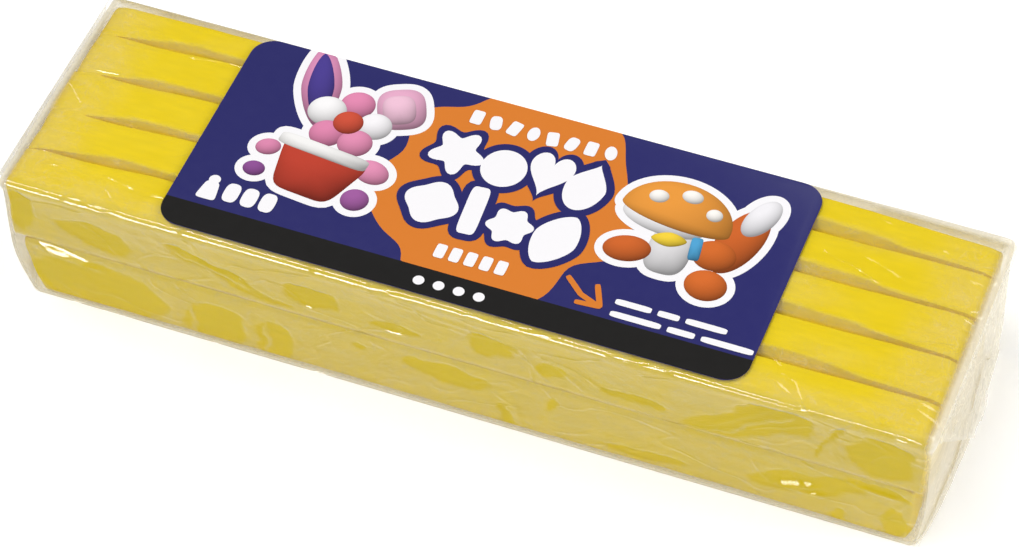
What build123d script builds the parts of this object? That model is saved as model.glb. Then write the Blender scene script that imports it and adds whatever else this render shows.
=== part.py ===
from build123d import *

import os

# A wrapped pack of modelling clay.
#
# Ten clay sticks lie in two layers of five. One sheet of clear film is wrapped round them as a sleeve,
# with a lapped seam inside the base, and folded over each end like a parcel. The last fold of each end,
# the outer flap, peels open on its own top crease. A printed label is stuck to the top of the film.
#
# Frame: +X runs along the pack, +Y to its back and +Z up. The origin is the centre of the base.
# Sizes are in millimetres.

# Clay
sticks_per_layer = 5
clay_front = -26.7
clay_back = 26.3
first_groove = -16.2
groove_pitch = 11.4
layer_height = 16.1
clay_clearance = 0.05
stick_edge_radius = 0.6
# How high up a stick its sides start to lean in, which opens the groove beside it.
groove_root_height = 6.0
# Where a groove opens and closes: share of the stick's length, and width of the groove at the top.
groove_stations = [(0.0, 0.3), (0.04, 0.5), (0.1, 2.2), (0.16, 1.6), (0.81, 3.0), (0.92, 1.5), (1.0, 0.7)]
layer_ends = {"lower": (-94.5, 94.5), "upper": (-96.5, 96.0)}

# Film. It is thicker than a real film, which is 0.03 to 0.04 mm, so that it makes a sound solid.
film_gauge = 0.2
film_width = 56.4
film_height = 33.2
film_corner_radius = 0.9
sleeve_length = 195.0
seam_lap = 12.0
# Length of film past the sleeve's end, which is folded over the end.
fold_overhang = 26.0
flap_clearance = 0.05

# Label
label_length = 123.0
label_width = 53.6
label_thickness = 0.15
label_corner_radius = 5.0
label_centre = (-2.5, 0.4)

# Worked out from the sizes above
groove_lines = [first_groove + i * groove_pitch for i in range(sticks_per_layer - 1)]
stick_sides = [clay_front, *groove_lines, clay_back]
sleeve_end = sleeve_length / 2
fold_root_half = film_width / 2 - film_corner_radius
fold_tip_half = film_width / 2 - fold_overhang
layer_base = {
    "lower": 2 * film_gauge + clay_clearance,
    "upper": 2 * film_gauge + 2 * clay_clearance + layer_height,
}


def end_plane(x, z=0):
    """A plane across the pack, facing +X, with its first axis along +Y and its second along +Z."""
    return Plane(origin=(x, 0, z), x_dir=(0, 1, 0), z_dir=(1, 0, 0))


def stick_outline(place, opening):
    """Corners of a stick's section from its front bottom corner, as (y, height above its base)."""
    front = stick_sides[place] + clay_clearance
    back = stick_sides[place + 1] - clay_clearance
    has_front_groove = place > 0
    has_back_groove = place < sticks_per_layer - 1
    outline = [(front, 0), (back, 0)]
    if has_back_groove:
        outline.append((back, groove_root_height))
    outline.append((back - has_back_groove * opening / 2, layer_height))
    outline.append((front + has_front_groove * opening / 2, layer_height))
    if has_front_groove:
        outline.append((front, groove_root_height))
    return outline


def clay_stick(layer, place):
    """One stick of a layer, lofted through the stations where its grooves change width."""
    left, right = layer_ends[layer]
    with BuildPart() as stick:
        for share, opening in groove_stations:
            station = left + share * (right - left)
            with BuildSketch(end_plane(station, layer_base[layer])) as section:
                with BuildLine():
                    Polyline(*stick_outline(place, opening), close=True)
                make_face()
                rows = section.vertices().group_by(Axis.Y)
                fillet(rows[0] + rows[-1], stick_edge_radius)
        loft(ruled=True)
    return stick


def sleeve_outline(inset, mode=Mode.ADD):
    """The sleeve's outline in an end plane at mid height, moved in by inset."""
    width = film_width - 2 * inset
    height = film_height - 2 * inset
    RectangleRounded(width, height, film_corner_radius - inset, mode=mode)


def fold_outline(root_height, tip_height):
    """Corners of a folded flap, which is wide at its crease and cut at an angle to a narrow tip."""
    return [
        (-fold_root_half, root_height),
        (fold_root_half, root_height),
        (fold_tip_half, tip_height),
        (-fold_tip_half, tip_height),
    ]


def film_wrap():
    """The sleeve with its lapped seam, and the side tucks and the lower flap of both ends."""
    with BuildPart() as wrap:
        with BuildSketch(end_plane(-sleeve_end, film_height / 2)):
            sleeve_outline(0)
            sleeve_outline(film_gauge, mode=Mode.SUBTRACT)
        extrude(amount=sleeve_length)
        with BuildSketch(Plane.XY.offset(film_gauge)):
            Rectangle(sleeve_length, seam_lap)
        extrude(amount=film_gauge)
        for end in (-1, 1):
            with BuildSketch(end_plane(end * sleeve_end, film_height / 2)):
                sleeve_outline(0)
                Rectangle(2 * fold_tip_half, film_height, mode=Mode.SUBTRACT)
            extrude(amount=end * film_gauge)
            with BuildSketch(end_plane(end * (sleeve_end + film_gauge))):
                with BuildLine():
                    Polyline(*fold_outline(0, fold_overhang), close=True)
                make_face()
            extrude(amount=end * film_gauge)
    return wrap


def end_flap(end):
    """The outer flap of one end, which hangs over the lower flap from its crease at the top."""
    inner_face = end * (sleeve_end + 2 * film_gauge + flap_clearance)
    with BuildPart() as flap:
        with BuildSketch(end_plane(inner_face)):
            with BuildLine():
                Polyline(
                    *fold_outline(film_height - flap_clearance, film_height - fold_overhang),
                    close=True,
                )
            make_face()
        extrude(amount=end * film_gauge)
    return flap


def label_sheet():
    """The label, flat on top of the film."""
    with BuildPart() as sheet:
        with BuildSketch(Plane.XY.offset(film_height)):
            with Locations(label_centre):
                RectangleRounded(label_length, label_width, label_corner_radius)
        extrude(amount=label_thickness)
    return sheet


pieces = {
    "film_wrap": film_wrap(),
    "film_flap_left": end_flap(-1),
    "film_flap_right": end_flap(1),
    "label": label_sheet(),
}
for layer in layer_ends:
    for place in range(sticks_per_layer):
        pieces[f"{layer}_stick_{place + 1}"] = clay_stick(layer, place)

os.makedirs("parts", exist_ok=True)
for name, piece in pieces.items():
    piece.part.label = name
    export_step(piece.part, f"parts/{name}.step")

clay_volume = sum(piece.part.volume for name, piece in pieces.items() if "stick" in name) / 1000
print(f"clay {clay_volume:.1f} cm3")
print(f"flap hinges at x {sleeve_end + 2 * film_gauge + flap_clearance:.3f}, z {film_height:.3f}")
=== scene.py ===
import math

import bmesh
import bpy
from bpy.props import FloatProperty, FloatVectorProperty, IntProperty, PointerProperty
from mathutils import Matrix, Vector, noise


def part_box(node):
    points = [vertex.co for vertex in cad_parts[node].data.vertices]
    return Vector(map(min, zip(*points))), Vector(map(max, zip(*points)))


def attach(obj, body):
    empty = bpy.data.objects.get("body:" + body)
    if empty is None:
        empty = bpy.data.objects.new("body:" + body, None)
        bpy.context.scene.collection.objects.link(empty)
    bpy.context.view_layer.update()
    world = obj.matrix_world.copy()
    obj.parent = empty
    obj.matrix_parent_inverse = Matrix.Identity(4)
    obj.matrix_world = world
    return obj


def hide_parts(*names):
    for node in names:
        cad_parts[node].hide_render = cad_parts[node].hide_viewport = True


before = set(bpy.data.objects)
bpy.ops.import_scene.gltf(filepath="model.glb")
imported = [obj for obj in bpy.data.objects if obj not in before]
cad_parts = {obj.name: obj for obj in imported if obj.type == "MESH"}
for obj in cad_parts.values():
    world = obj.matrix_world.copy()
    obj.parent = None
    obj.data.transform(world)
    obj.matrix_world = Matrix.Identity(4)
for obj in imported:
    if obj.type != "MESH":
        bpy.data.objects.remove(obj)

bl_info = {
    "name": "Wrapped Modelling Clay",
    "version": (1, 0, 0),
    "blender": (4, 5, 0),
    "location": "View3D > Sidebar > Clay Pack",
    "description": "Builds the visible pieces of a film wrapped pack of modelling clay on its frame",
    "category": "Object",
}

MM = 0.001
X, Y, Z = 0, 1, 2
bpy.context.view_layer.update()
STICKS_PER_LAYER = 5
LAYERS = ("lower", "upper")
WRAP_LOW, WRAP_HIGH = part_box("film_wrap")
# The outer flaps turn on their crests, along the top edges of both ends.
FLAP_CREST_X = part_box("film_flap_right")[0].x
LABEL_LOW, LABEL_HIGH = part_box("label")
LABEL_CENTRE = (LABEL_LOW + LABEL_HIGH) / 2
CLAY_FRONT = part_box("upper_stick_1")[0].y
CLAY_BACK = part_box("upper_stick_5")[1].y
CLAY_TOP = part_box("upper_stick_1")[1].z
GROOVE_LINES = [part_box(f"upper_stick_{i + 1}")[1].y for i in range(STICKS_PER_LAYER - 1)]
LAYER_SEAM = (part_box("lower_stick_1")[1].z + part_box("upper_stick_1")[0].z) / 2


# ---------------------------------------------------------------------------------------------------
# Colours and shader nodes
# ---------------------------------------------------------------------------------------------------

def linear(hex_colour):
    """The linear RGBA of an sRGB hex value such as "#eed017"."""
    channels = [int(hex_colour[i:i + 2], 16) / 255 for i in (1, 3, 5)]
    return [c / 12.92 if c <= 0.04045 else ((c + 0.055) / 1.055) ** 2.4 for c in channels] + [1.0]


def add(tree, kind, inputs=(), **settings):
    """Adds a shader node with its settings. inputs gives each socket a value or the output it reads."""
    made = tree.nodes.new("ShaderNode" + kind)
    for name, value in settings.items():
        setattr(made, name, value)
    for socket, value in dict(inputs).items():
        if isinstance(value, bpy.types.NodeSocket):
            tree.links.new(value, made.inputs[socket])
        else:
            made.inputs[socket].default_value = value
    return made


def new_material(name):
    """An empty node material and its tree."""
    material = bpy.data.materials.new(name)
    material.use_nodes = True
    material.node_tree.nodes.clear()
    return material, material.node_tree


def ramp(tree, fac, stops, interpolation="EASE"):
    """A colour ramp between grey levels, given as (position, level)."""
    made = add(tree, "ValToRGB", {"Fac": fac})
    made.color_ramp.interpolation = interpolation
    elements = made.color_ramp.elements
    while len(elements) < len(stops):
        elements.new(0.5)
    for element, (position, level) in zip(elements, stops):
        element.position = position
        element.color = (level, level, level, 1)
    return made.outputs["Color"]


# ---------------------------------------------------------------------------------------------------
# Mesh tools
# ---------------------------------------------------------------------------------------------------

def begin(name, primitive, **placing):
    """Adds a primitive with nothing else selected, names it and opens it in edit mode."""
    bpy.ops.object.select_all(action="DESELECT")
    primitive(**placing)
    piece = bpy.context.object
    piece.name = name
    piece.data.name = name
    bpy.ops.object.transform_apply(location=True, rotation=True, scale=True)
    bpy.ops.object.mode_set(mode="EDIT")
    return piece


def box_piece(name, low, high):
    """A cube shaped to the box between two corners, in edit mode."""
    size = high - low
    return begin(name, bpy.ops.mesh.primitive_cube_add, size=1, location=(low + high) / 2, scale=size)


def pick(piece, kind, rule):
    """Selects only those vertices ("verts"), "edges" or "faces" that a rule accepts."""
    mode = {"verts": "VERT", "edges": "EDGE", "faces": "FACE"}[kind]
    bpy.ops.mesh.select_mode(type=mode)
    bpy.ops.mesh.select_all(action="DESELECT")
    mesh = bmesh.from_edit_mesh(piece.data)
    for element in getattr(mesh, kind):
        if rule(element):
            element.select_set(True)
    mesh.select_flush_mode()
    bmesh.update_edit_mesh(piece.data)


def runs_along(edge, axis):
    """Whether an edge is parallel to an axis."""
    step = edge.verts[1].co - edge.verts[0].co
    return abs(step[axis]) > 0.99 * step.length


def cut_across(piece, axis, cuts):
    """Divides every edge that is parallel to an axis, so that rings of new edges run round the piece."""
    pick(piece, "edges", lambda edge: runs_along(edge, axis))
    bpy.ops.mesh.subdivide(number_cuts=cuts)


def reshape(piece, rule):
    """Moves each vertex to where a rule puts it."""
    mesh = bmesh.from_edit_mesh(piece.data)
    for vertex in mesh.verts:
        vertex.co = rule(vertex.co)
    bmesh.update_edit_mesh(piece.data)


def close(piece, angle=60, outward=None):
    """Leaves edit mode with the normals outwards, and shades the piece smooth under an angle. outward is
    the way an open sheet faces."""
    bpy.ops.mesh.select_all(action="SELECT")
    bpy.ops.mesh.normals_make_consistent(inside=False)
    if outward:
        faces = bmesh.from_edit_mesh(piece.data).faces
        if sum((face.normal for face in faces), Vector()).dot(outward) < 0:
            bpy.ops.mesh.flip_normals()
    bpy.ops.object.mode_set(mode="OBJECT")
    bpy.ops.object.shade_smooth_by_angle(angle=math.radians(angle))


def place(piece, material, body, slot, *nodes):
    """Gives a piece its material, and has it ride on a body in place of its CAD nodes."""
    piece.data.materials.append(material)
    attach(piece, body)
    if nodes:
        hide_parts(*nodes)


def smoothstep(x, low=0.0, high=1.0):
    """0 below low and 1 above high, with a smooth rise between them."""
    t = min(max((x - low) / (high - low), 0.0), 1.0)
    return t * t * (3 - 2 * t)


def between(stations, x):
    """A smooth curve through stations, each (x, value) in millimetres, at x in metres. In metres."""
    x = x / MM
    if x <= stations[0][0]:
        return stations[0][1] * MM
    for (x0, v0), (x1, v1) in zip(stations, stations[1:]):
        if x <= x1:
            return (v0 + (v1 - v0) * smoothstep(x, x0, x1)) * MM
    return stations[-1][1] * MM


def ripple(co, size, seed, stretch=(1, 1, 1)):
    """Smooth noise from about -1 to 1 at a point, with features of about a size in metres."""
    point = Vector(co[i] / (size * stretch[i]) for i in range(3))
    return noise.noise(point + Vector((seed * 7.3, seed * 3.1, seed * 5.7)))


# ---------------------------------------------------------------------------------------------------
# Clay
# ---------------------------------------------------------------------------------------------------

# How far back the groove lines lie from straight, along the pack, in mm.
GROOVE_DRIFT = [(-97, -0.6), (-88, -0.3), (-66, 0.9), (60, -0.9), (97, -0.8)]
# How far back the clay's own back face lies from straight.
BACK_DRIFT = [(-97, 0.7), (-60, 0.9), (60, 0.1), (97, -1.0)]
# Where each groove's closed left tip lies, from the front groove to the back one, in mm.
GROOVE_TIPS = [-96, -90, -92, -93.5]
# The mouth of a groove to the right of its tip, as (x, width) in mm.
GROOVE_MOUTH = [(-78, 2.3), (-66, 1.6), (0, 2.4), (60, 3.1), (70, 2.7), (81, 1.1), (97, 0.5)]
WIDEST_MOUTH = 3.1
# Share of a groove's mouth by which the stick behind it leans back. The stick in front gives the rest.
REAR_LEAN = 0.85
# How far neighbours press into each other left of a groove's tip.
PRESSED_OVERLAP = 0.22 * MM


def groove_mouth(groove, x, widest):
    """Width of a groove's mouth at x. widest is the width beside the label's right edge."""
    stations = [(GROOVE_TIPS[groove], 0.05)] + GROOVE_MOUTH
    waver = 1 + 0.25 * ripple((x, groove, 0), 9 * MM, groove)
    return between(stations, x) * waver * widest / WIDEST_MOUTH


def over_groove(x, y, widest):
    """Whether a place on the top lies over the mouth of a groove, from 0 to 1."""
    outside = 1.0
    for groove, line in enumerate(GROOVE_LINES):
        mouth = groove_mouth(groove, x, widest)
        middle = line + between(GROOVE_DRIFT, x) + (REAR_LEAN - 0.5) * mouth
        outside = min(outside, abs(y - middle) - mouth / 2)
    return 1 - smoothstep(outside, -0.3 * MM, 0.3 * MM)


def pressed_together(groove, x):
    """How far two neighbours are pressed into each other to the left of a groove's tip."""
    return PRESSED_OVERLAP * smoothstep(GROOVE_TIPS[groove] + 3 - x / MM, 0, 4)


def oil_modelling_clay(settings):
    """Oil based modelling clay, extruded and wire cut: opaque, waxy and nearly matt under its film. It gives
    a dense even yellow, with slightly paler smears and faint lines along the way it was extruded."""
    material, tree = new_material("oil_modelling_clay")
    place_in = add(tree, "TexCoord").outputs["Object"]
    along_pack = add(tree, "Mapping", {"Vector": place_in, "Scale": (0.22, 1, 1)}).outputs["Vector"]
    # Smears where the clay was handled, about 9 mm across.
    smear = add(tree, "TexNoise", {"Vector": place_in, "Scale": 1 / (9 * MM), "Detail": 4, "Roughness": 0.6})
    smear_level = ramp(tree, smear.outputs["Fac"], [(0.35, 0.0), (0.7, 1.0)])
    # Drag lines of the die, about 1.2 mm apart.
    drag = add(tree, "TexNoise", {"Vector": along_pack, "Scale": 1 / (1.2 * MM), "Detail": 3})
    body = add(tree, "Mix", {
        0: smear_level, 6: (*settings.clay_colour, 1), 7: (*settings.smear_colour, 1),
    }, data_type="RGBA")
    brightness = add(tree, "MapRange", {
        "Value": drag.outputs["Fac"], "From Min": 0.3, "From Max": 0.7, "To Min": 0.955, "To Max": 1.02,
    })
    tone = add(tree, "HueSaturation", {"Color": body.outputs[2], "Value": brightness.outputs["Result"]})
    # Crumbs and pits, about 0.5 mm across.
    fine = add(tree, "TexNoise", {"Vector": place_in, "Scale": 1 / (0.5 * MM), "Detail": 2})
    lines = add(tree, "Bump", {"Height": drag.outputs["Fac"], "Strength": 0.3, "Distance": 0.12 * MM})
    relief = add(tree, "Bump", {
        "Height": fine.outputs["Fac"], "Strength": 0.25, "Distance": 0.05 * MM,
        "Normal": lines.outputs["Normal"],
    })
    shine = ramp(tree, smear.outputs["Fac"], [(0.3, 0.48), (0.7, 0.66)])
    surface = add(tree, "BsdfPrincipled", {
        "Base Color": tone.outputs["Color"],
        "Roughness": shine,
        "Normal": relief.outputs["Normal"],
        "Specular IOR Level": 0.05,
        "Subsurface Weight": 0.04,
        "Subsurface Radius": (1.0, 0.8, 0.1),
        "Subsurface Scale": 1.0 * MM,
    })
    add(tree, "OutputMaterial", {"Surface": surface.outputs["BSDF"]})
    return material


# The wrapping draws both ends in near their bottom front corners: how far, and how far round the corner.
DRAW_LEFT = 4.2 * MM
DRAW_RIGHT = 1.5 * MM
DRAW_REACH = 16 * MM


def corner_draw(x, y, z):
    """How far an end of the pack is drawn in near its bottom front corner, most of all on the left."""
    furthest = DRAW_LEFT if x < 0 else DRAW_RIGHT
    return furthest * max(0.0, 1 - math.dist((y, z), (WRAP_LOW.y, 0)) / DRAW_REACH) ** 2


# Rings that round off a stick's cut ends: how far each steps in and how far it stands out, in mm.
END_RINGS = [(0.25, 0.3), (0.45, 0.2), (1.2, 0.12), (1.6, 0.05)]


def crown_ends(piece, low, high):
    """Rounds the rim of both cut ends of a stick in a few rings."""
    for side in (-1, 1):
        pick(piece, "faces", lambda face: face.normal.x * side > 0.9)
        width, height = high.y - low.y, high.z - low.z
        middle = Vector((0, (low.y + high.y) / 2, (low.z + high.z) / 2))
        for step, out in END_RINGS:
            bpy.ops.mesh.extrude_region_move(TRANSFORM_OT_translate={"value": (side * out * MM, 0, 0)})
            narrower, lower = 1 - 2 * step * MM / width, 1 - 2 * step * MM / height
            bpy.ops.transform.resize(value=(1, narrower, lower), center_override=middle)
            width, height = width * narrower, height * lower


def clay_stick(layer, place_in_layer, settings):
    """One soft stick, with its sides leaning in to open the grooves beside it."""
    node = f"{layer}_stick_{place_in_layer + 1}"
    low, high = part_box(node)
    # Each stick was cut a little longer or shorter than the next.
    seed = place_in_layer + STICKS_PER_LAYER * LAYERS.index(layer)
    low.x += 0.7 * MM * (0.5 + 0.5 * math.sin(2.3 * seed + 1))
    high.x -= 0.9 * MM * (0.5 + 0.5 * math.sin(3.1 * seed))
    piece = box_piece(f"clay_{node}", low, high)
    first = place_in_layer == 0
    last = place_in_layer == STICKS_PER_LAYER - 1
    # The block's own long edges are at the top of the upper layer and the bottom of the lower one.
    own_level = high.z if layer == "upper" else low.z

    def outer(edge):
        middle = (edge.verts[0].co + edge.verts[1].co) / 2
        at_side = first and middle.y < low.y + MM or last and middle.y > high.y - MM
        return runs_along(edge, X) and at_side and abs(middle.z - own_level) < MM

    pick(piece, "edges", outer)
    bpy.ops.mesh.bevel(offset=settings.outer_radius, segments=5)
    pick(piece, "edges", lambda edge: runs_along(edge, X) and edge.calc_face_angle(0) > 1)
    bpy.ops.mesh.bevel(offset=settings.groove_radius, segments=2)
    cut_across(piece, Y, 6)
    cut_across(piece, Z, 8)
    cut_across(piece, X, settings.rings)
    crown_ends(piece, low, high)
    root = low.z + settings.groove_root
    # Grooves are counted from the front, and each stick but the first has one in front of it.
    groove_front = place_in_layer - 1
    groove_back = place_in_layer

    def soften(co):
        across = (co.y - low.y) / (high.y - low.y)
        rise = max(0.0, (co.z - root) / (high.z - root))
        front = 0.0 if first else between(GROOVE_DRIFT, co.x)
        back = between(BACK_DRIFT if last else GROOVE_DRIFT, co.x)
        if not first:
            front += REAR_LEAN * rise * groove_mouth(groove_front, co.x, settings.groove_width)
            front -= rise * pressed_together(groove_front, co.x)
        if not last:
            back -= (1 - REAR_LEAN) * rise * groove_mouth(groove_back, co.x, settings.groove_width)
            back += rise * pressed_together(groove_back, co.x)
        sag = 0.12 * MM * ripple(co, 16 * MM, seed, (3, 1, 1))
        sag += 0.05 * MM * ripple(co, 4 * MM, seed + 20)
        end_wave = 0.5 * MM * ripple((0, co.y, co.z), 5 * MM, seed + 40)
        reach = smoothstep(abs(co.x), high.x - 4 * MM, high.x)
        shoulder = settings.end_shoulder * smoothstep(abs(co.x), high.x - 3.5 * MM, high.x + MM) ** 2
        drawn = corner_draw(*co) * smoothstep(abs(co.x), 82 * MM, 96 * MM)
        return Vector((
            co.x + end_wave * reach - math.copysign(drawn, co.x),
            co.y + front * (1 - across) + back * across + sag,
            co.z + sag * (1 - rise) - 0.1 * MM - shoulder * rise,
        ))

    reshape(piece, soften)
    close(piece, 35)
    return piece, node


# ---------------------------------------------------------------------------------------------------
# Film
# ---------------------------------------------------------------------------------------------------

# Where the film sticks to the clay's front face: (x, z, half length, half height, tilt in degrees), mm.
FRONT_CONTACTS = [
    (-94, 25.5, 3.0, 6.0, 0), (-77.5, 23.0, 8.8, 3.4, -8), (-52, 24.0, 11, 1.6, -17),
    (-44, 20.4, 9, 1.3, -12),
    (-30.5, 23.6, 6.0, 2.6, 0), (-13, 21.4, 5.0, 1.2, 0), (7.5, 24.0, 5.0, 3.3, 0), (20.5, 22.0, 3.0, 2.0, 0),
    (37, 21.0, 7.0, 1.4, -5), (59, 22.0, 12, 3.4, 22), (66, 26.6, 8.0, 3.6, 8), (88, 24.0, 7.2, 5.8, 0),
    (-78, 6.8, 16, 7.2, 0), (-52, 6.4, 7.5, 6.2, 0), (-39, 6.6, 4.2, 5.6, 8), (-20.5, 12.8, 2.0, 1.2, 0),
    (-2, 12.0, 8.5, 3.0, 0), (20.3, 11.6, 1.5, 2.0, 0), (11, 3.8, 1.2, 3.4, 0), (40, 4.8, 9.0, 1.5, 3),
    (73, 10.2, 12, 2.9, 14), (87.5, 14.4, 6.5, 1.3, -2), (91.5, 5.8, 3.4, 4.0, 0), (80, 3.0, 1.3, 2.2, 0),
    (77.2, 26.3, 4.6, 0.6, 50), (74.4, 21.5, 2.2, 0.55, 85),
]
# Narrow places inside them where it stands off again, in the same form.
FRONT_GAPS = [
    (-61.4, 6.8, 7.0, 0.8, 84), (-57.6, 5.6, 6.0, 0.5, 97), (-44.6, 6.6, 7.5, 0.8, 79),
    (-40.6, 6.0, 6.0, 0.5, 100),
    (79.6, 24.0, 7.0, 1.0, 76), (-52, 23.4, 9.0, 0.4, -17), (62, 23.5, 9.0, 0.5, 38),
]
# Raised creases of the front film: (x, z) of both ends, then half width and height, all in mm.
FRONT_CREASES = [
    ((-91.5, 15.4), (-77, 13.0), 1.5, 1.0), ((81.4, 15.6), (81.9, 14.0), 0.7, 0.45),
    ((81.9, 14.0), (92.6, 13.3), 0.8, 0.56), ((93.6, 13.2), (88.4, 4.7), 0.8, 0.4),
    ((66.6, 7.6), (76, 10.2), 1.3, 0.95), ((67.5, 7.4), (77.5, 8.0), 0.9, 0.6),
    ((78.4, 20), (76.2, 30), 1.0, 0.25), ((52, 18.5), (66, 30), 0.9, 0.25),
    ((-64, 28), (-35, 18.8), 1.4, 0.25), ((-58, 26.8), (-40, 18.4), 0.8, 0.2),
    ((-60.6, 14), (-62, 1.5), 0.9, 0.2), ((-43.5, 13.6), (-46, 1.5), 0.9, 0.2),
    ((-20, 30), (12, 27.5), 0.8, 0.2), ((14, 27), (19, 19), 0.9, 0.3),
    ((20, 25), (28, 18.5), 0.8, 0.25), ((12, 11), (14.5, 2), 0.8, 0.25), ((-96, 9), (-90, 2), 1.0, 0.3),
]


# Bands near the sleeve's edges over which a face takes on its own shape: from and to, measured from the
# middle of the pack along Y and X, and from the base for the top.
SIDE_BAND = (26.8 * MM, 28.2 * MM)
END_BAND = (93.5 * MM, 97.6 * MM)
TOP_BAND = (32.2 * MM, 33.1 * MM)
# The seam's lap inside the base, along the pack and across it.
LAP_LENGTH = 190 * MM
LAP_WIDTH = 12 * MM
# The folds over an end: how far they reach, how far the crease stays inside the sleeve's edges, and half
# the width of their tips. Each layer lies this far outside the tucks.
FOLD_REACH = 26 * MM
CREASE_INSET = 1.4 * MM
TIP_HALF = 2.2 * MM
LOWER_FOLD_OUT = 0.2 * MM
PEEL_FLAP_OUT = 0.6 * MM
# The lower fold starts this far above the base.
LOWER_FOLD_ROOT = 0.2 * MM


def inside_patch(patches, x, z, softness):
    """How far a place lies inside any patch of a table, from 0 to 1. All in mm."""
    deepest = 0.0
    for centre_x, centre_z, half_length, half_height, tilt in patches:
        if abs(x - centre_x) > max(half_length, half_height) * (1 + softness):
            continue
        turn = math.radians(tilt)
        u = ((x - centre_x) * math.cos(turn) + (z - centre_z) * math.sin(turn)) / half_length
        v = ((z - centre_z) * math.cos(turn) - (x - centre_x) * math.sin(turn)) / half_height
        deepest = max(deepest, 1 - smoothstep(math.hypot(u, v), 1 - softness, 1 + softness))
    return deepest


def contact_with_front(x, z):
    """How firmly the film sticks to the clay at a place on the front face, from 0 to 1."""
    x, z = x / MM, z / MM
    wander_x = x + 2.2 * noise.noise(Vector((x / 6, z / 5, 1)))
    wander_x += 0.7 * noise.noise(Vector((x / 2, z / 2, 3)))
    wander_z = z + 1.3 * noise.noise(Vector((x / 7, z / 4, 5)))
    wander_z += 0.4 * noise.noise(Vector((x / 2, z / 2, 8)))
    gap = inside_patch(FRONT_GAPS, wander_x, wander_z, 0.4)
    return inside_patch(FRONT_CONTACTS, wander_x, wander_z, 0.1) * (1 - gap)


def crease(point, start, end, width):
    """1 on a straight crease, and falling evenly to 0 at a width away. All in mm, in one plane."""
    start, run = Vector(start), Vector(end) - Vector(start)
    share = min(max((Vector(point) - start).dot(run) / run.length_squared, 0), 1)
    away = (Vector(point) - start - run * share).length
    fade = min(1.0, 4 * share + 0.2, 4 * (1 - share) + 0.2)
    return max(0.0, 1 - away / width) * fade


def crumple(u, v, seed, size):
    """Height from 0 to 1 of film crumpled into flat facets that meet in sharp creases."""
    height = 0.0
    for i in range(3):
        turn = seed * 1.7 + i * 1.15
        along = (u * math.cos(turn) + v * math.sin(turn)) / size * (1 + 0.6 * i)
        bend = 0.6 * noise.noise(Vector((u / size / 2, v / size / 2, seed + i)))
        height += abs((along + bend + 0.37 * i) % 1 - 0.5) * 2 / (1 + i)
    return height / (1 + 1 / 2 + 1 / 3)


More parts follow.
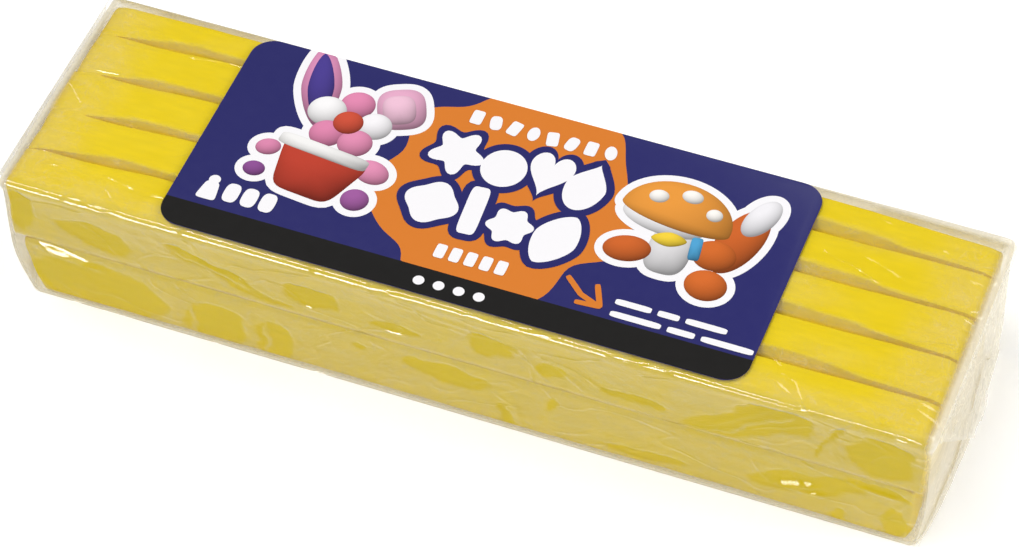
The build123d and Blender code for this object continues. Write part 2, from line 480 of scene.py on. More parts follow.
def clear_bopp_film(name, haze, slant, settings):
    """Clear biaxially stretched polypropylene film, cast and wrapped cold: thin, glossy and nearly
    colourless. It gives sharp glints on its creases and a milky veil where it stands off the clay."""
    material, tree = new_material(name)
    place_in = add(tree, "TexCoord").outputs["Object"]
    touching = add(tree, "Attribute", attribute_name="contact").outputs["Fac"]
    layers = add(tree, "Attribute", attribute_name="layers").outputs["Fac"]
    long_way = add(tree, "Mapping", {"Vector": place_in, "Scale": (0.3, 1, 1)}).outputs["Vector"]
    slanted = add(tree, "Mapping", {"Vector": place_in, "Rotation": (0.6, 0.5, 0.7), "Scale": (0.5, 1, 1)})
    # Fine stretch marks, about 1.5 mm apart, and cloudy patches about 7 mm across.
    stretch = add(tree, "TexNoise", {"Vector": long_way, "Scale": 1 / (1.5 * MM), "Detail": 3})
    cloud = add(tree, "TexNoise", {
        "Vector": slanted.outputs["Vector"], "Scale": 1 / (7 * MM), "Detail": 5, "Roughness": 0.65,
        "Distortion": 0.9,
    })
    # Hair fine creases that wander about 10 mm apart.
    wander = add(tree, "TexNoise", {
        "Vector": slanted.outputs["Vector"], "Scale": 1 / (10 * MM), "Detail": 1, "Distortion": 0.4,
    })
    hair = ramp(tree, wander.outputs["Fac"], [(0.47, 0.0), (0.5, 1.0), (0.53, 0.0)], "LINEAR")
    fine = add(tree, "Bump", {"Height": stretch.outputs["Fac"], "Strength": 0.3, "Distance": 0.1 * MM})
    folds = add(tree, "Bump", {
        "Height": hair, "Strength": 0.6, "Distance": 0.25 * MM, "Normal": fine.outputs["Normal"],
    })
    veil = add(tree, "MapRange", {
        "Value": cloud.outputs["Fac"], "From Min": 0.3, "From Max": 0.7,
        "To Min": 0.15 * haze, "To Max": 1.85 * haze,
    })
    # Crinkles about 3 mm apart, which turn the film white along their lines.
    crinkle = add(tree, "TexNoise", {
        "Vector": place_in, "Scale": 1 / (3 * MM), "Detail": 2, "Distortion": 0.8,
    })
    white_line = ramp(tree, crinkle.outputs["Fac"], [(0.475, 0.0), (0.5, 1.0), (0.525, 0.0)], "LINEAR")
    veil = add(tree, "Math", {
        0: white_line, 1: 1.2 * haze, 2: veil.outputs["Result"],
    }, operation="MULTIPLY_ADD")
    off = add(tree, "Math", {0: 1.0, 1: touching}, operation="SUBTRACT")
    veiled = add(tree, "Math", {0: veil.outputs[0], 1: off.outputs[0]}, operation="MULTIPLY")
    stacked = add(tree, "Math", {
        0: layers, 1: settings.layer_haze, 2: veiled.outputs[0],
    }, operation="MULTIPLY_ADD")
    grazing = add(tree, "LayerWeight", {"Blend": 0.3, "Normal": fine.outputs["Normal"]})
    # Seen along its surface, each layer looks thicker.
    slant_haze = add(tree, "Math", {0: layers, 1: 0.35, 2: slant}, operation="MULTIPLY_ADD")
    whole = add(tree, "Math", {
        0: grazing.outputs["Facing"], 1: slant_haze.outputs[0], 2: stacked.outputs[0],
    }, operation="MULTIPLY_ADD", use_clamp=True)
    through = add(tree, "BsdfTransparent", {"Color": linear("#fdfcf9")})
    milk = add(tree, "BsdfDiffuse", {"Color": (*settings.veil_colour, 1)})
    glow = add(tree, "BsdfTranslucent", {"Color": (*settings.veil_colour, 1)})
    milky = add(tree, "MixShader", {0: 0.2, 1: milk.outputs[0], 2: glow.outputs[0]})
    sheet = add(tree, "MixShader", {0: whole.outputs[0], 1: through.outputs[0], 2: milky.outputs[0]})
    mirror = add(tree, "BsdfGlossy", {"Roughness": 0.1, "Normal": folds.outputs["Normal"]})
    fresnel = add(tree, "Fresnel", {"IOR": 1.49, "Normal": folds.outputs["Normal"]})
    # A loose sheet reflects at both its faces, and one that sticks to the clay only at its outer face.
    faces = add(tree, "Math", {0: touching, 1: -0.6, 2: 1.2}, operation="MULTIPLY_ADD")
    gloss = add(tree, "Math", {0: fresnel.outputs[0], 1: faces.outputs[0]}, operation="MULTIPLY")
    # Seen along its surface, its haze hides most of the mirror that clear glass would show.
    both = add(tree, "Math", {0: gloss.outputs[0], 1: 0.2}, operation="MINIMUM")
    surface = add(tree, "MixShader", {0: both.outputs[0], 1: sheet.outputs[0], 2: mirror.outputs[0]})
    add(tree, "OutputMaterial", {"Surface": surface.outputs[0]})
    return material


def store(piece, name, rule):
    """Stores a value from 0 to 1 for each vertex, for a material to read."""
    values = piece.data.attributes.new(name, "FLOAT", "POINT")
    for vertex, item in zip(piece.data.vertices, values.data):
        item.value = rule(vertex.co)


def end_surface(side, y, z):
    """How far from the middle of the pack the film of an end stands: most half way up its middle."""
    u = y / WRAP_HIGH.y
    v = 2 * z / WRAP_HIGH.z - 1
    bulge = (1 - u * u) * (1 - 0.55 * v * v)
    facet = (crumple(y / MM, z / MM, 2 + side, 11) - 0.6) * min(1, 3 * max(bulge, 0))
    stands = WRAP_HIGH.x + MM * (2.2 * bulge - 1.0 + 0.55 * facet) - corner_draw(side, y, z)
    return stands + (FLAP_CREST_X - stands) * smoothstep(v, 0.75, 1.0)


def clay_back(x):
    """Where the clay's back face lies at x."""
    return CLAY_BACK + between(BACK_DRIFT, x)


def film_sleeve(settings, groove_width):
    """The sleeve and its tucked ends, drawn on to the clay in patches and creased between them."""
    piece = box_piece("film_sleeve", WRAP_LOW, WRAP_HIGH)
    bpy.ops.mesh.select_all(action="SELECT")
    bpy.ops.mesh.bevel(offset=settings.edge_radius, segments=5)
    cut_across(piece, X, settings.film_rings)
    cut_across(piece, X, 1)
    cut_across(piece, Y, 60)
    cut_across(piece, Z, 44)
    # The front face is the one seen closest, so it is cut twice as fine.
    pick(piece, "faces", lambda face: face.normal.y < -0.99)
    bpy.ops.mesh.subdivide(number_cuts=1)
    top = WRAP_HIGH.z

    def drape(co):
        x, y, z = co
        at_front = smoothstep(-y, *SIDE_BAND)
        at_back = smoothstep(y, *SIDE_BAND)
        at_end = smoothstep(abs(x), *END_BAND)
        at_top = smoothstep(z, *TOP_BAND)
        side = 1 if x > 0 else -1
        moved = Vector(co)
        if at_front:
            stuck = contact_with_front(x, z) * (1 - at_end)
            standing = 0.4 + 1.0 * smoothstep(z, 19 * MM, 34 * MM) ** 2
            standing += 0.18 * ripple(co, 9 * MM, 3, (3, 1, 1)) + 0.05 * ripple(co, 3 * MM, 4, (3, 1, 1))
            standing -= 0.3 * math.exp(-((z - LAYER_SEAM) / (0.7 * MM)) ** 2)
            standing += (0.18 - standing) * stuck
            for start, end, width, height in FRONT_CREASES:
                if min(start[0], end[0]) - width < x / MM < max(start[0], end[0]) + width:
                    standing += height * crease((x / MM, z / MM), start, end, width)
            below_edge = smoothstep(top - z, 0, 3.5 * MM)
            moved.y += at_front * below_edge * (CLAY_FRONT - standing * MM - WRAP_LOW.y)
        if at_back:
            stuck = smoothstep(ripple(co, 12 * MM, 9, (2, 1, 1)), 0.0, 0.3)
            slack = 0.5 + 0.5 * ripple(co, 8 * MM, 5, (3, 1, 1))
            inwards = 0.6 * MM * slack + (WRAP_HIGH.y - clay_back(x) - 0.7 * MM) * stuck * 0.7
            moved.y -= at_back * smoothstep(z, 0, 4 * MM) * smoothstep(top - z, 0, 5 * MM) * inwards
        if at_top:
            beside_label = smoothstep(abs(x - LABEL_CENTRE.x), 61.5 * MM, 66 * MM)
            inside = smoothstep(WRAP_HIGH.y - abs(y), 0, 4 * MM)
            wave = 0.5 + 0.5 * ripple(co, 10 * MM, 7, (3, 1, 1))
            moved.z -= at_top * inside * MM * (0.08 * wave + 0.25 * beside_label * wave)
            moved.z += 0.05 * MM * beside_label * ripple(co, 4 * MM, 15, (2, 1, 1))
        drawn = corner_draw(x, y, z)
        moved.x += side * at_end * (end_surface(side, y, z) + drawn - WRAP_HIGH.x)
        moved.x -= side * drawn * smoothstep(abs(x), 84 * MM, 97.6 * MM)
        moved.z -= 0.3 * MM * smoothstep(abs(x), 93 * MM, 97.9 * MM) ** 2 * z / top
        return moved

    reshape(piece, drape)
    close(piece, 75)

    def contact(co):
        if co.y < CLAY_FRONT:
            return contact_with_front(co.x, co.z)
        if co.z > CLAY_TOP - MM:
            length_in = smoothstep(94 * MM - abs(co.x), 0, 14 * MM)
            front_in = smoothstep(co.y, CLAY_FRONT + 2 * MM, CLAY_FRONT + 7 * MM)
            over_clay = 1 - smoothstep(co.y - clay_back(co.x), -1.2 * MM, 0)
            patchy = smoothstep(ripple(co, 11 * MM, 4, (2, 1, 1)), -0.6, -0.05)
            spans = over_groove(co.x, co.y, groove_width)
            return over_clay * length_in * front_in * (0.3 + 0.7 * patchy) * (1 - spans)
        if co.y > CLAY_BACK:
            return smoothstep(ripple(co, 12 * MM, 9, (2, 1, 1)), 0.0, 0.3)
        return 0.5 * smoothstep(ripple(co, 14 * MM, 6, (2, 1, 1)), -0.2, 0.2)

    def layers(co):
        past_end = smoothstep(abs(co.x) + corner_draw(*co), 95.6 * MM, 97.2 * MM)
        past_back = smoothstep(co.y - clay_back(co.x), 0, 1.2 * MM) * smoothstep(co.z, 25 * MM, 31 * MM)
        at_foot = smoothstep(-co.y, 26 * MM, 27 * MM) * (1 - smoothstep(co.z, 0.3 * MM, 1.4 * MM))
        on_end_face = 1 - smoothstep(co.z, 29 * MM, 32 * MM)
        return max(past_end * (1 - 0.45 * on_end_face), past_back, 0.7 * at_foot)

    store(piece, "contact", contact)
    store(piece, "layers", layers)
    return piece


def seam_lap():
    """The strip inside the base where the two edges of the film's sleeve lie over each other."""
    piece = begin(
        "film_seam_lap", bpy.ops.mesh.primitive_grid_add, size=1, x_subdivisions=120, y_subdivisions=8,
    )

    def lie(co):
        x, y = co.x * LAP_LENGTH, co.y * LAP_WIDTH
        wavy_edge = MM * co.y * ripple((x, 0, 0), 20 * MM, 31)
        return Vector((x, y + wavy_edge, 0.2 * MM + 0.05 * MM * ripple((x, y, 0), 6 * MM, 33)))

    reshape(piece, lie)
    return piece


def end_fold(name, end, root_z, tip_z, out, seed, settings, crest_x=None):
    """A folded trapezoid of film over one end, wide at its crease and narrow at its tip. crest_x is where
    the line it turns on lies, if it turns."""
    half = WRAP_HIGH.y - CREASE_INSET
    piece = begin(
        name, bpy.ops.mesh.primitive_grid_add, size=1, x_subdivisions=settings.fold_cuts,
        y_subdivisions=settings.fold_cuts, rotation=(0, math.radians(90) * end, 0),
    )

    def fold(co):
        # The grid spans one unit each way: co.y runs across and co.z from root to tip.
        share = min(max(0.5 + co.z, 0), 1)
        y = 2 * co.y * (half + (TIP_HALF - half) * share)
        z = root_z + share * (tip_z - root_z)
        loose = smoothstep(share, 0.05, 0.5)
        own = 0.12 * loose * (crumple(y / MM, z / MM, seed, 6) - 0.3)
        lifted_edge = 0.35 * loose * smoothstep(abs(co.y), 0.4, 0.5)
        curl = 0.5 * smoothstep(share, 0.7, 1.0)
        x = end_surface(end, y, z) + out + MM * (own + lifted_edge + curl)
        if crest_x:
            x = crest_x + (x - crest_x) * smoothstep(share, 0, 0.06)
        return Vector((end * x, y, z))

    reshape(piece, fold)
    return piece


# ---------------------------------------------------------------------------------------------------
# Label
# ---------------------------------------------------------------------------------------------------

def superellipse(power):
    """An outline between a diamond (1), an ellipse (2) and a rounded rectangle (5 or more)."""
    def outline(t):
        c, s = math.cos(t), math.sin(t)
        reach = (abs(c) ** power + abs(s) ** power) ** (-1 / power)
        return reach * c, reach * s
    return outline


def lobed(count, depth, turn=0.0):
    """A round outline with soft lobes."""
    def outline(t):
        reach = 1 - depth + depth * math.cos(count * t + turn)
        return reach * math.cos(t), reach * math.sin(t)
    return outline


def heart(t):
    """A heart with its point down."""
    x = 16 * math.sin(t) ** 3
    y = 13 * math.cos(t) - 5 * math.cos(2 * t) - 2 * math.cos(3 * t) - math.cos(4 * t)
    return x / 16, (y + 2.5) / 15


def drop(t):
    """A drop with its point up."""
    return math.cos(t) * (1 - max(0, math.sin(t)) ** 1.5) ** 0.9, math.sin(t)


def cap(t):
    """A mushroom's cap, domed above and nearly flat below."""
    return math.cos(t), math.sin(t) * (1.0 if math.sin(t) > 0 else 0.3)


def pot(t):
    """A pot that narrows towards its foot."""
    x, y = superellipse(6)(t)
    return x * (0.82 + 0.18 * y), y


OUTLINES = {
    "ball": superellipse(2), "bar": superellipse(6), "pebble": superellipse(3), "heart": heart, "drop": drop,
    "cap": cap, "pot": pot, "star": lobed(5, 0.2, math.pi / 2), "flower": lobed(6, 0.12),
    "leaf": superellipse(1.55), "cloud": lobed(4, 0.09, 0.6),
}


# Outlines with hollows, which grow away from their own centre.
HOLLOW_OUTLINES = ("heart", "star", "flower", "cloud")


class Print:
    """Flat shapes of ink on the label, each a fan of faces round its own centre."""

    def __init__(self, piece, thickness):
        self.thickness = thickness
        self.level = 0
        self.mesh = bmesh.from_edit_mesh(piece.data)
        self.mesh.clear()
        self.ink = self.mesh.loops.layers.float_color.new("ink")
        self.uv = self.mesh.loops.layers.uv.new("UVMap")
        self.relief = self.mesh.loops.layers.float_color.new("relief")

    def shape(self, kind, x, y, half_x, half_y, colour, turn=0, grow=0, relief=0, limits=None, points=56):
        """Prints one shape. x, y and its half sizes are mm from the label's centre."""
        outline = OUTLINES[kind] if isinstance(kind, str) else kind
        steps = [2 * math.pi * i / points for i in range(points)]
        rim = [Vector((outline(t)[0] * half_x, outline(t)[1] * half_y)) for t in steps]
        if kind in HOLLOW_OUTLINES:
            rim = [p + p.normalized() * grow for p in rim]
        else:
            tangents = [rim[(i + 1) % points] - rim[i - 1] for i in range(points)]
            rim = [p + Vector((d.y, -d.x)).normalized() * grow for p, d in zip(rim, tangents)]
        turned = Matrix.Rotation(math.radians(turn), 2)
        rim = [turned @ p + Vector((x, y)) for p in rim]
        if limits:
            rim = [Vector((p.x, min(max(p.y, limits[0]), limits[1]))) for p in rim]
            y = min(max(y, limits[0]), limits[1])
        self.level += 1
        z = LABEL_HIGH.z + self.level * self.thickness
        corners = [
            self.mesh.verts.new((LABEL_CENTRE.x + p.x * MM, LABEL_CENTRE.y + p.y * MM, z)) for p in rim
        ]
        middle = self.mesh.verts.new((LABEL_CENTRE.x + x * MM, LABEL_CENTRE.y + y * MM, z))
        around = [turned @ Vector((math.cos(t), math.sin(t))) for t in steps]
        for i in range(points):
            j = (i + 1) % points
            face = self.mesh.faces.new((middle, corners[i], corners[j]))
            spots = (Vector((0, 0)), around[i], around[j])
            for loop, spot in zip(face.loops, spots):
                loop[self.ink] = colour
                loop[self.relief] = (relief, relief, relief, 1)
                loop[self.uv].uv = spot * 0.5 + Vector((0.5, 0.5))


def printed_label_film(name, ink_socket):
    """Printed and varnished label film: smooth with a satin sheen. ink_socket adds its colour."""
    material, tree = new_material(name)
    place_in = add(tree, "TexCoord").outputs["Object"]
    # Orange peel of the varnish, about 2 mm across.
    peel = add(tree, "TexNoise", {"Vector": place_in, "Scale": 1 / (2 * MM), "Detail": 2})
    relief = add(tree, "Bump", {"Height": peel.outputs["Fac"], "Strength": 0.12, "Distance": 0.05 * MM})
    sheen = add(tree, "MapRange", {
        "Value": peel.outputs["Fac"], "From Min": 0.3, "From Max": 0.7, "To Min": 0.28, "To Max": 0.36,
    })
    surface = add(tree, "BsdfPrincipled", {
        "Base Color": ink_socket(tree, place_in),
        "Roughness": sheen.outputs["Result"],
        "Specular IOR Level": 0.22,
        "Normal": relief.outputs["Normal"],
    })
    add(tree, "OutputMaterial", {"Surface": surface.outputs["BSDF"]})
    return material


def solid_blue(settings):
    """The ink socket of the label's blue ground, very slightly uneven as a printed solid is."""
    def ink(tree, place_in):
        mottle = add(tree, "TexNoise", {"Vector": place_in, "Scale": 1 / (3 * MM), "Detail": 3})
        mixed = add(tree, "Mix", {
            0: mottle.outputs["Fac"], 6: (*settings.ground_colour, 1), 7: linear("#2f2f6b"),
        }, data_type="RGBA")
        return mixed.outputs[2]
    return ink


def picture_ink(tree, place_in):
    """The ink socket of the printed pictures: flat colour, or a round modelled look where relief is 1."""
    ink = add(tree, "Attribute", attribute_name="ink").outputs["Color"]
    relief = add(tree, "Attribute", attribute_name="relief").outputs["Fac"]
    uv = add(tree, "TexCoord").outputs["UV"]
    spot = add(tree, "VectorMath", {0: uv, 1: (2, 2, 0), 2: (-1, -1, 0)}, operation="MULTIPLY_ADD")
    square = add(tree, "VectorMath", {0: spot.outputs[0], 1: spot.outputs[0]}, operation="DOT_PRODUCT")
    under = add(tree, "Math", {0: 1.0, 1: square.outputs["Value"]}, operation="SUBTRACT", use_clamp=True)
    height = add(tree, "Math", {0: under.outputs[0], 1: 0.5}, operation="POWER")
    lift = add(tree, "CombineXYZ", {"Z": height.outputs[0]})
    normal = add(tree, "VectorMath", {0: spot.outputs[0], 1: lift.outputs[0]}, operation="ADD")
    toward_light = add(tree, "VectorMath", {
        0: normal.outputs[0], 1: (-0.35, 0.55, 0.76),
    }, operation="DOT_PRODUCT")
    shade = add(tree, "MapRange", {
        "Value": toward_light.outputs["Value"], "From Min": -0.3, "From Max": 0.95,
        "To Min": 0.35, "To Max": 1.08,
    })
    modelled = add(tree, "VectorMath", {0: ink, "Scale": shade.outputs["Result"]}, operation="SCALE")
    mixed = add(tree, "Mix", {0: relief, 6: ink, 7: modelled.outputs[0]}, data_type="RGBA")
    return mixed.outputs[2]


def label_sheet(settings):
    """The label's film, a rounded rectangle with a fine rounded edge."""
    piece = box_piece("label_sheet", LABEL_LOW, LABEL_HIGH)
    pick(piece, "edges", lambda edge: runs_along(edge, Z))
    bpy.ops.mesh.bevel(offset=settings.corner_radius, segments=12)

    def upper_rim(edge):
        return min(v.co.z for v in edge.verts) > LABEL_CENTRE.z and edge.calc_face_angle(0) > 1

    pick(piece, "edges", upper_rim)
    bpy.ops.mesh.bevel(offset=0.04 * MM, segments=2)
    close(piece, 30)
    return piece


# The shapes of the two printed pictures: (outline, x, y, half sizes, turn, colour), mm from the centre.
FLOWER_PICTURE = [
    ("leaf", -44, 18, 4.2, 11.5, 17, "#d48bb2"), ("leaf", -44, 17.6, 2.7, 9.6, 17, "#4a3d8c"),
    ("pebble", -26.2, 17.5, 5.0, 5.6, 24, "#dfa6c2"), ("pebble", -26.6, 17.2, 3.4, 4.0, 24, "#e8bcd0"),
    ("ball", -35, 15.6, 3.6, 3.6, 0, "#dc86ab"), ("ball", -40.3, 12.0, 4.0, 4.0, 0, "#f0eeee"),
    ("ball", -29.6, 11.2, 3.6, 3.6, 0, "#efecee"), ("ball", -38, 6.2, 3.6, 3.6, 0, "#d983a8"),
    ("ball", -31.6, 5.6, 3.6, 3.6, 0, "#dc8aad"), ("ball", -35, 10.4, 3.1, 3.1, 0, "#c9503a"),
    ("ball", -25.4, -0.6, 3.8, 3.0, -20, "#dd8db0"), ("ball", -47.6, -1.2, 2.6, 2.2, 20, "#d584a8"),
    ("ball", -25.8, -8.6, 2.9, 2.9, 0, "#9c5b9a"), ("ball", -48.0, -7.6, 2.3, 2.0, 0, "#8a4f90"),
    ("pot", -36.3, -4.6, 9.8, 6.6, -6, "#b8402f"), ("bar", -36.6, 1.4, 9.9, 1.7, -6, "#eceae8"),
]
MUSHROOM_PICTURE = [
    ("ball", 49.4, 7.4, 4.4, 9.4, -14, "#c8622a"), ("ball", 51.6, 14.6, 2.9, 5.6, -20, "#e9e7ea"),
    ("pebble", 37.2, 0.6, 4.4, 6.4, 0, "#dcdadb"), ("ball", 33.6, 7.6, 8.8, 3.6, -6, "#efedee"),
    ("cap", 35.6, 9.0, 11.6, 9.4, -6, "#e2953d"), ("ball", 30.6, 13.4, 2.0, 1.7, 10, "#f3efe9"),
    ("ball", 37.0, 15.4, 2.2, 1.7, -6, "#f3efe9"), ("ball", 42.6, 12.2, 1.7, 1.6, -20, "#f3efe9"),
    ("ball", 45.9, 2.2, 4.4, 3.9, 0, "#cd682b"), ("ball", 29.2, -1.8, 4.8, 3.4, 14, "#c9632b"),
    ("ball", 46.8, -5.6, 4.3, 3.9, -8, "#d0692c"), ("bar", 41.9, 2.6, 1.2, 3.0, 8, "#4f9ecb"),
    ("leaf", 36.2, 3.2, 3.6, 1.9, 8, "#eccb3c"),
]
# The chunky white shapes in the middle, in two rows: (outline, x, y, half sizes, turn).
TITLE_SHAPES = [
    ("star", -11.3, 10.6, 6.0, 6.3, 8), ("ball", -1.0, 9.6, 4.7, 5.0, 0), ("heart", 8.0, 10.8, 4.6, 6.0, -4),
    ("drop", 16.2, 10.6, 4.2, 6.6, -8), ("cloud", -11.2, -3.8, 5.8, 5.8, 0), ("bar", -2.6, -3.0, 2.0, 6.4, 4),
    ("flower", 5.6, -4.4, 4.9, 4.9, 10), ("leaf", 15.2, -4.6, 4.6, 7.2, -18),
]


def label_print(settings):
    """Everything printed on the label over its blue ground."""
    piece = begin("label_print", bpy.ops.mesh.primitive_circle_add, vertices=3, fill_type="NGON")
    sheet = Print(piece, settings.ink_step)
    half_x = (LABEL_HIGH.x - LABEL_LOW.x) / 2 / MM
    half_y = (LABEL_HIGH.y - LABEL_LOW.y) / 2 / MM
    band_top = -half_y + settings.band_height / MM
    orange, white = (*settings.splash_colour, 1), linear("#f6f4f6")
    blue, black = (*settings.ground_colour, 1), linear("#201f1e")

    def splash(t):
        reach = 1 + 0.075 * math.cos(7 * t + 0.8) + 0.05 * math.cos(4 * t) + 0.03 * math.cos(11 * t + 2)
        return reach * math.cos(t), reach * math.sin(t)

    sheet.shape(splash, 1.5, 3, 25, 30, orange, limits=(band_top, half_y), points=128)
    # The black band, a rounded rectangle cut off at its top.
    corner = settings.corner_radius / MM

    def band(t):
        c, s = math.cos(t), math.sin(t)
        reach = min(half_x / max(abs(c), 1e-6), half_y / max(abs(s), 1e-6))
        x, y = reach * c, reach * s
        over = Vector((max(abs(x) - (half_x - corner), 0), max(abs(y) - (half_y - corner), 0)))
        if over.length > corner:
            over = over.normalized() * corner
            x = math.copysign(half_x - corner + over.x, x)
            y = math.copysign(half_y - corner + over.y, y)
        return x, y

    sheet.shape(band, 0, 0, 1, 1, black, limits=(-half_y, band_top), points=512)
    for picture in (FLOWER_PICTURE, MUSHROOM_PICTURE):
        for kind, x, y, a, b, turn, _ in picture:
            sheet.shape(kind, x, y, a, b, white, turn, grow=1.6, limits=(band_top, half_y))
        for kind, x, y, a, b, turn, colour in picture:
            sheet.shape(kind, x, y, a, b, linear(colour), turn, relief=1, limits=(band_top, half_y))
    for kind, x, y, a, b, turn in TITLE_SHAPES:
        sheet.shape(kind, x, y, a, b, blue, turn, grow=1.7)
    for kind, x, y, a, b, turn in TITLE_SHAPES:
        sheet.shape(kind, x, y, a, b, white, turn)
    # A row of small tilted pebbles above them, and a row of short bars below.
    for i in range(8):
        rise = 0.035 * (i - 3.5) ** 2
        kind = ("bar", "pebble", "bar", "ball")[i % 4]
        sheet.shape(kind, -11 + 4.1 * i, 20.4 + rise, 1.25, 1.9, white, 14 * math.sin(2.1 * i))
    for i in range(5):
        sheet.shape("bar", -4.8 + 3.2 * i, -15.2, 1.1, 1.8, white)
    # A weight, as a kettle weight beside three bars.
    sheet.shape("pot", -54, -16.2, 2.2, 2.4, white, 180)
    sheet.shape("ball", -54, -13.2, 1.2, 1.2, white)
    for i in range(3):
        sheet.shape("pebble", -49.4 + 3.9 * i, -15.4, 1.6, 2.5, white)
    # A drawn arrow that points at two rows of bars.
    sheet.shape("bar", 23.0, -14.4, 2.9, 0.6, orange, -42)
    sheet.shape("bar", 26.9, -16.9, 2.8, 0.6, orange, -22)
    sheet.shape("bar", 28.3, -15.3, 3.0, 0.6, orange, -66)
    sheet.shape("bar", 27.0, -18.0, 2.7, 0.6, orange, 4)
    for y, words in ((-15.4, (7.4, 4.4, 8.4)), (-18.6, (10.4, 5.6, 10.6))):
        x = 31.8
        for length in words:
            sheet.shape("bar", x + length / 2, y, length / 2, 0.75, white)
            x += length + 1.3
    # Four small dots on the band.
    for i in range(4):
        sheet.shape("ball", -6 + 4.2 * i, -half_y + 3.1, 1.15, 1.15, white)
    bmesh.update_edit_mesh(piece.data)
    # Where a shape is cut off, its fan has faces without area.
    bpy.ops.mesh.select_all(action="SELECT")
    bpy.ops.mesh.dissolve_degenerate(threshold=0.0001 * MM)
    bpy.ops.mesh.delete_loose()
    bpy.ops.object.mode_set(mode="OBJECT")
    return piece


# ---------------------------------------------------------------------------------------------------
# Settings
# ---------------------------------------------------------------------------------------------------

class ClaySettings(bpy.types.PropertyGroup):
    """Sizes and colour of the clay sticks."""
    clay_colour: FloatVectorProperty(
        name="Clay colour", description="Colour of the clay", subtype="COLOR", size=3, min=0, max=1,
        default=linear("#f1d600")[:3],
    )
    smear_colour: FloatVectorProperty(
        name="Smear colour", description="Colour of its paler smears", subtype="COLOR", size=3, min=0, max=1,
        default=linear("#f1d715")[:3],
    )
    groove_width: FloatProperty(
        name="Groove width", description="Mouth of a groove beside the label's right edge, in mm",
        default=WIDEST_MOUTH, min=0.5, max=5,
    )
    groove_root: FloatProperty(
        name="Groove root", description="Height above a stick's base where its sides start to lean in",
        default=11.5 * MM, unit="LENGTH",
    )
    outer_radius: FloatProperty(
        name="Outer radius", description="Radius of the block's own long edges", default=1.8 * MM,
        unit="LENGTH",
    )
    groove_radius: FloatProperty(
        name="Groove edge radius", description="Radius of the edges beside a groove", default=0.3 * MM,
        unit="LENGTH",
    )
    end_shoulder: FloatProperty(
        name="End shoulder", description="How far a stick's top drops at its cut ends", default=0.9 * MM,
        unit="LENGTH",
    )
    rings: IntProperty(name="Rings", description="Cuts along a stick", default=100, min=8, max=100)


class FilmSettings(bpy.types.PropertyGroup):
    """Look of the film."""
    veil_colour: FloatVectorProperty(
        name="Veil colour", description="Colour of the film's haze", subtype="COLOR", size=3, min=0, max=1,
        default=linear("#f8f3e4")[:3],
    )
    haze: FloatProperty(
        name="Haze", description="How milky one layer of free film is", default=0.088, min=0, max=1,
        subtype="FACTOR",
    )
    layer_haze: FloatProperty(
        name="Layer haze", description="How milky the sleeve is where it lies in several layers", default=0.7,
        min=0, max=1, subtype="FACTOR",
    )
    fold_haze: FloatProperty(
        name="Fold haze", description="How milky the folded ends are", default=0.17, min=0, max=1,
        subtype="FACTOR",
    )
    edge_radius: FloatProperty(
        name="Edge radius", description="Radius of the sleeve's edges", default=1.6 * MM, unit="LENGTH",
    )
    film_rings: IntProperty(
        name="Rings", description="Cuts along the film, before each ring is halved", default=99, min=20,
        max=100,
    )
    fold_cuts: IntProperty(name="Fold cuts", description="Cuts across a folded flap", default=64, min=8)


class LabelSettings(bpy.types.PropertyGroup):
    """Sizes and colours of the label."""
    ground_colour: FloatVectorProperty(
        name="Ground colour", description="Colour of the label's ground", subtype="COLOR", size=3, min=0,
        max=1, default=linear("#2b2b68")[:3],
    )
    splash_colour: FloatVectorProperty(
        name="Splash colour", description="Colour of the splash and the arrow", subtype="COLOR", size=3,
        min=0, max=1, default=linear("#da7e30")[:3],
    )
    corner_radius: FloatProperty(
        name="Corner radius", description="Radius of the label's corners", default=5 * MM, unit="LENGTH",
    )
    band_height: FloatProperty(
        name="Band height", description="Height of the black band", default=6.6 * MM, unit="LENGTH",
    )
    ink_step: FloatProperty(
        name="Ink step", description="Height of each shape over the one before", default=0.001 * MM,
        unit="LENGTH", precision=6,
    )


class StageSettings(bpy.types.PropertyGroup):
    """Camera and light."""
    azimuth: FloatProperty(
        name="Azimuth", description="Camera's turn to the right from the front", subtype="ANGLE",
        default=math.radians(21.85),
    )
    elevation: FloatProperty(
        name="Elevation", description="Camera's height above level", subtype="ANGLE",
        default=math.radians(49.1),
    )
    roll: FloatProperty(
        name="Roll", description="Camera's turn about its own axis", subtype="ANGLE",
        default=math.radians(-1.13),
    )
    distance: FloatProperty(
        name="Distance", description="From the camera to the point it aims at", default=0.7798, unit="LENGTH",
    )
    lens: FloatProperty(name="Lens", description="Focal length in mm", default=134.8, min=10)


# ---------------------------------------------------------------------------------------------------
# Operators
# ---------------------------------------------------------------------------------------------------

class CLAYPACK_OT_clay(bpy.types.Operator):
    """Make the ten clay sticks"""
    bl_idname = "claypack.clay"
    bl_label = "Clay Sticks"

    def execute(self, context):
        settings = context.scene.claypack_clay
        material = oil_modelling_clay(settings)
        for layer in LAYERS:
            for place_in_layer in range(STICKS_PER_LAYER):
                piece, node = clay_stick(layer, place_in_layer, settings)
                place(piece, material, "pack", "clay", node)
        return {"FINISHED"}


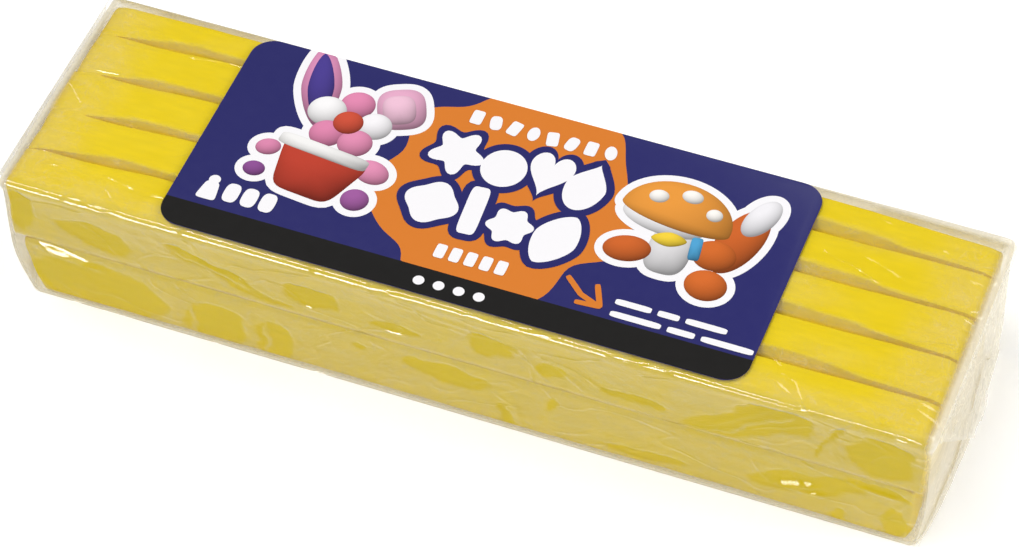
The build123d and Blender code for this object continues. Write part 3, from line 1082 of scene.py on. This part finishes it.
class CLAYPACK_OT_film(bpy.types.Operator):
    """Make the film wrap, its lower folds and the flaps that peel open"""
    bl_idname = "claypack.film"
    bl_label = "Film"

    def execute(self, context):
        settings = context.scene.claypack_film
        sleeve_film = clear_bopp_film("clear_bopp_film", settings.haze, 0.12, settings)
        folded_film = clear_bopp_film("folded_bopp_film", settings.fold_haze, 0.5, settings)
        sleeve = film_sleeve(settings, context.scene.claypack_clay.groove_width)
        place(sleeve, sleeve_film, "pack", "clear_film", "film_wrap")
        lap = seam_lap()
        close(lap, 75, (0, 0, -1))
        place(lap, folded_film, "pack", "clear_film", "film_wrap")
        top = WRAP_HIGH.z
        for side, end in (("left", -1), ("right", 1)):
            lower = end_fold(
                f"film_lower_fold_{side}", end, LOWER_FOLD_ROOT, FOLD_REACH, LOWER_FOLD_OUT, 5 + end,
                settings,
            )
            close(lower, 75, (end, 0, 0))
            place(lower, folded_film, "pack", "clear_film", "film_wrap")
            flap = end_fold(
                f"film_peel_flap_{side}", end, top, top - FOLD_REACH, PEEL_FLAP_OUT, 9 + end, settings,
                FLAP_CREST_X,
            )
            close(flap, 75, (end, 0, 0))
            place(flap, folded_film, f"{side}_flap", "clear_film", f"film_flap_{side}")
        return {"FINISHED"}


class CLAYPACK_OT_label(bpy.types.Operator):
    """Make the label and its print"""
    bl_idname = "claypack.label"
    bl_label = "Label"

    def execute(self, context):
        settings = context.scene.claypack_label
        ground = printed_label_film("printed_label_film", solid_blue(settings))
        pictures = printed_label_film("printed_picture_ink", picture_ink)
        sheet = label_sheet(settings)
        place(sheet, ground, "pack", "label_film", "label")
        place(label_print(settings), pictures, "pack", "label_film")
        return {"FINISHED"}


class CLAYPACK_OT_stage(bpy.types.Operator):
    """Make the floor, the lights and the camera"""
    bl_idname = "claypack.stage"
    bl_label = "Stage"

    def execute(self, context):
        settings = context.scene.claypack_stage
        floor_and_lights()
        camera(settings)
        context.scene.view_settings.view_transform = "Standard"
        return {"FINISHED"}


def floor_and_lights():
    """A plain pale floor, an even pale surround and soft studio lights."""
    bpy.ops.object.select_all(action="DESELECT")
    bpy.ops.mesh.primitive_plane_add(size=6, location=(0, 0, -0.05 * MM))
    floor = bpy.context.object
    floor.name = "floor"
    material, tree = new_material("studio_paper")
    surface = add(tree, "BsdfPrincipled", {
        "Base Color": linear("#f4f4f4"), "Roughness": 0.9, "Specular IOR Level": 0.1,
        "Emission Color": (1, 1, 1, 1), "Emission Strength": 0.22,
    })
    add(tree, "OutputMaterial", {"Surface": surface.outputs["BSDF"]})
    floor.data.materials.append(material)
    world = bpy.data.worlds.new("studio")
    world.use_nodes = True
    world.node_tree.nodes.clear()
    glow = add(world.node_tree, "Background", {"Color": (1, 1, 1, 1), "Strength": 0.2})
    add(world.node_tree, "OutputWorld", {"Surface": glow.outputs["Background"]})
    bpy.context.scene.world = world
    # The glint card only shows as a reflection in the film and lights nothing else.
    for name, aim_from, size, power, lights_matt in (
        ("key_softbox", (-0.18, -0.22, 0.82), (0.70, 0.09), 4.1, True),
        ("glint_card", (-0.3, -0.86, 0.24), (0.42, 0.32), 9.5, False),
        ("right_softbox", (0.74, 0.05, 0.44), (0.3, 0.3), 3.2, True),
        ("left_softbox", (-0.70, 0.05, 0.52), (0.3, 0.3), 1.2, True),
        ("back_softbox", (0.30, 0.80, 0.45), (0.6, 0.25), 1.7, True),
    ):
        bpy.ops.object.light_add(type="AREA", location=aim_from)
        light = bpy.context.object
        light.name = name
        light.data.shape = "RECTANGLE"
        light.data.size, light.data.size_y = size
        light.data.energy = power
        light.visible_diffuse = lights_matt
        light.rotation_euler = Vector(aim_from).to_track_quat("Z", "Y").to_euler()


# The point the camera aims at: a place on the base, then a shift to the right and up in its own view, in mm.
AIM_BASE = Vector((0.3, -1.15, 0))
AIM_RIGHT = 1.14
AIM_UP = 9.69


def camera(settings):
    """The camera, turned to the object from its front right."""
    az, el, roll = settings.azimuth, settings.elevation, settings.roll
    back = Vector((math.sin(az) * math.cos(el), -math.cos(az) * math.cos(el), math.sin(el)))
    right = Vector((math.cos(az), math.sin(az), 0))
    up = back.cross(right)
    right, up = (
        right * math.cos(roll) + up * math.sin(roll),
        up * math.cos(roll) - right * math.sin(roll),
    )
    aim = (right * AIM_RIGHT + up * AIM_UP + AIM_BASE) * MM
    bpy.ops.object.camera_add()
    eye = bpy.context.object
    eye.name = "camera"
    eye.data.lens = settings.lens
    eye.data.sensor_width = 36
    turned = Matrix((right, up, back)).transposed().to_4x4()
    eye.matrix_world = Matrix.Translation(aim + back * settings.distance) @ turned
    bpy.context.scene.camera = eye


class CLAYPACK_PT_panel(bpy.types.Panel):
    """The settings and the operators, in the 3D view's sidebar"""
    bl_idname = "CLAYPACK_PT_panel"
    bl_label = "Clay Pack"
    bl_space_type = "VIEW_3D"
    bl_region_type = "UI"
    bl_category = "Clay Pack"

    def draw(self, context):
        for group, operator in zip(SETTINGS, OPERATORS):
            held = getattr(context.scene, group)
            for name in held.__annotations__:
                self.layout.prop(held, name)
            self.layout.operator(operator.bl_idname)


SETTINGS = {
    "claypack_clay": ClaySettings,
    "claypack_film": FilmSettings,
    "claypack_label": LabelSettings,
    "claypack_stage": StageSettings,
}
OPERATORS = (CLAYPACK_OT_clay, CLAYPACK_OT_film, CLAYPACK_OT_label, CLAYPACK_OT_stage)


def register():
    for kind in (*SETTINGS.values(), *OPERATORS, CLAYPACK_PT_panel):
        bpy.utils.register_class(kind)
    for name, kind in SETTINGS.items():
        setattr(bpy.types.Scene, name, PointerProperty(type=kind))


def unregister():
    for name in SETTINGS:
        delattr(bpy.types.Scene, name)
    for kind in reversed((*SETTINGS.values(), *OPERATORS, CLAYPACK_PT_panel)):
        bpy.utils.unregister_class(kind)


def main():
    register()
    bpy.ops.claypack.clay()
    bpy.ops.claypack.film()
    bpy.ops.claypack.label()
    bpy.ops.claypack.stage()


if __name__ == "__main__":
    main()
